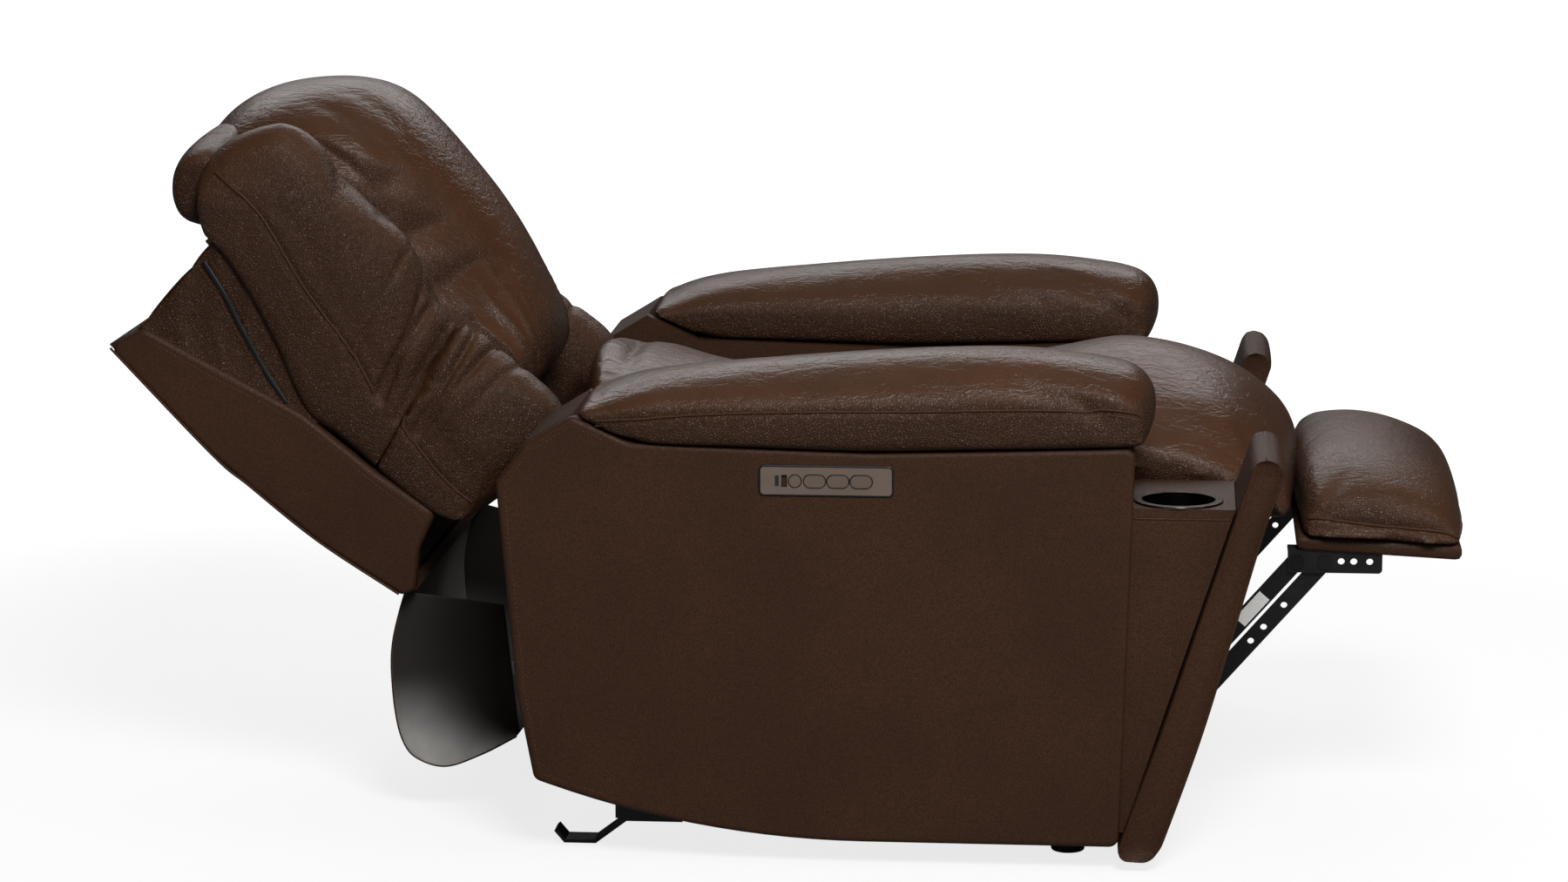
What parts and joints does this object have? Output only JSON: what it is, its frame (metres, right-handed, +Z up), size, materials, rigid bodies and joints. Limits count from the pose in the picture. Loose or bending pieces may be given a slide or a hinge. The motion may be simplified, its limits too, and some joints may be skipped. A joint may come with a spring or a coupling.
{
  "type": "power recliner armchair",
  "caption": "Upholstered powered recliner armchair, reclined with footrest out; back, headrest, lumbar plate, footrest linkage and side buttons move.",
  "frame": {"origin": "on the floor, under the middle of the chair's bounding box", "axes": "+Z up, -Y the way the sitter faces, +X the sitter's left"},
  "size_m": [1.024, 1.636, 0.8861],
  "materials": {
    "black_plastic": "matte",
    "bronze_button": "satin",
    "bronze_trim": "satin",
    "cup_metal": "gloss",
    "frame_steel": "satin",
    "leather": "satin",
    "light_window": "gloss",
    "paper_label": "matte",
    "pin_steel": "satin",
    "plywood": "matte",
    "spring_steel": "satin",
    "wrapped_board": "satin"
  },
  "bodies": {
    "base": {"base_rails": "frame_steel", "base_cross_tubes": "frame_steel", "base_uprights": "frame_steel", "rear_legs": "frame_steel", "front_glides": "black_plastic", "mechanism_plates": "frame_steel", "seat_frame": "frame_steel", "seat_springs": "spring_steel", "seat_cushion": "leather", "side_panel_left": "wrapped_board", "side_panel_right": "wrapped_board", "inner_panels": "wrapped_board", "arm_boards": "wrapped_board", "arm_pad_left": "leather", "arm_pad_right": "leather", "front_post_left": "leather", "front_post_right": "leather", "cup_block_left": "leather", "cup_block_right": "leather", "cup_holder_left": "cup_metal", "cup_holder_right": "cup_metal", "control_plate": "bronze_trim", "control_box": "black_plastic", "usb_port": "black_plastic", "indicator_light": "light_window", "hinge_pins": "pin_steel", "footrest_motor": "black_plastic", "footrest_motor_track": "frame_steel", "back_motor": "black_plastic", "back_motor_track": "frame_steel", "power_inlet": "black_plastic"},
    "back": {"back_shell_sides": "wrapped_board", "back_shell_rear": "wrapped_board", "back_side_plates": "frame_steel", "back_rails": "frame_steel", "lumbar_cushion": "leather", "upper_bolsters": "leather", "lower_bolsters": "leather", "lumbar_guide": "frame_steel"},
    "headrest": {"headrest_frame": "plywood", "headrest_cushion": "leather", "headrest_wings": "leather", "headrest_gusset": "leather"},
    "lumbar_support": {"lumbar_plate": "black_plastic"},
    "skirt": {"rear_skirt": "leather"},
    "footrest_drive": {"footrest_crank": "frame_steel", "crank_rivets": "pin_steel"},
    "lower_link_pair": {"lower_links": "frame_steel"},
    "upper_link_pair": {"upper_links": "frame_steel", "blank_label": "paper_label"},
    "footrest": {"footrest_brackets": "frame_steel", "footrest_rivets": "pin_steel", "footrest_board": "wrapped_board", "footrest_cushion": "leather"},
    "footrest_slide": {"footrest_slide_block": "black_plastic"},
    "back_slide": {"back_slide_block": "black_plastic"},
    "home_button": {"home_button": "bronze_button"},
    "recline_button": {"recline_button": "bronze_button"},
    "headrest_button": {"headrest_button": "bronze_button"},
    "lumbar_button": {"lumbar_button": "bronze_button"}
  },
  "joints": [
    {"name": "back_recline", "type": "hinge", "parent": "base", "child": "back", "pos_m": [0, 0.312, 0.5], "axis": [1, 0, 0], "range_deg": [0, 46]},
    {"name": "headrest_tilt", "type": "hinge", "parent": "back", "child": "headrest", "pos_m": [0, 0.492, 0.665], "axis": [1, 0, 0], "range_deg": [-15, 25], "deforming": ["headrest_gusset"]},
    {"name": "lumbar_push", "type": "slide", "parent": "back", "child": "lumbar_support", "axis": [0, -0.3724, 0.9281], "range_m": [0, 0.03]},
    {"name": "skirt_hang", "type": "hinge", "parent": "back", "child": "skirt", "pos_m": [0, 0.465, 0.277], "axis": [1, 0, 0], "range_deg": [-46, 0]},
    {"name": "footrest_turn", "type": "hinge", "parent": "base", "child": "footrest_drive", "pos_m": [0, -0.3153, 0.247], "axis": [1, 0, 0], "range_deg": [0, 105]},
    {"name": "lower_link_turn", "type": "hinge", "parent": "footrest_drive", "child": "lower_link_pair", "pos_m": [0, -0.4275, 0.076], "axis": [1, 0, 0], "range_deg": [-75, 0]},
    {"name": "upper_link_turn", "type": "hinge", "parent": "footrest_drive", "child": "upper_link_pair", "pos_m": [0, -0.394, 0.076], "axis": [1, 0, 0], "range_deg": [-75, 0]},
    {"name": "footrest_tilt", "type": "hinge", "parent": "lower_link_pair", "child": "footrest", "pos_m": [0, -0.6445, 0.325], "axis": [1, 0, 0], "range_deg": [0, 75]},
    {"name": "footrest_drive_slide", "type": "slide", "parent": "base", "child": "footrest_slide", "axis": [0, 1, 0], "range_m": [0, 0.15]},
    {"name": "back_drive_slide", "type": "slide", "parent": "base", "child": "back_slide", "axis": [0, 1, 0], "range_m": [0, 0.11]},
    {"name": "home_press", "type": "slide", "parent": "base", "child": "home_button", "axis": [1, 0, 0], "range_m": [0, 0.0015], "stiffness_N_per_m": 1200},
    {"name": "lumbar_rock", "type": "hinge", "parent": "base", "child": "lumbar_button", "pos_m": [-0.497, -0.0488, 0.459], "axis": [0, 0, 1], "range_deg": [-4, 4], "stiffness_Nm_per_rad": 1.5},
    {"name": "headrest_rock", "type": "hinge", "parent": "base", "child": "headrest_button", "pos_m": [-0.497, -0.0758, 0.459], "axis": [0, 0, 1], "range_deg": [-4, 4], "stiffness_Nm_per_rad": 1.5},
    {"name": "recline_rock", "type": "hinge", "parent": "base", "child": "recline_button", "pos_m": [-0.497, -0.1028, 0.459], "axis": [0, 0, 1], "range_deg": [-4, 4], "stiffness_Nm_per_rad": 1.5}
  ],
  "couplings": [
    {"joint": "lower_link_turn", "follows": "footrest_turn", "ratio": -0.71428},
    {"joint": "upper_link_turn", "follows": "footrest_turn", "ratio": -0.71428},
    {"joint": "footrest_tilt", "follows": "footrest_turn", "ratio": 0.71428},
    {"joint": "footrest_drive_slide", "follows": "footrest_turn", "m_per_rad": 0.0818},
    {"joint": "back_drive_slide", "follows": "back_recline", "m_per_rad": 0.137},
    {"joint": "skirt_hang", "follows": "back_recline", "ratio": -1}
  ]
}
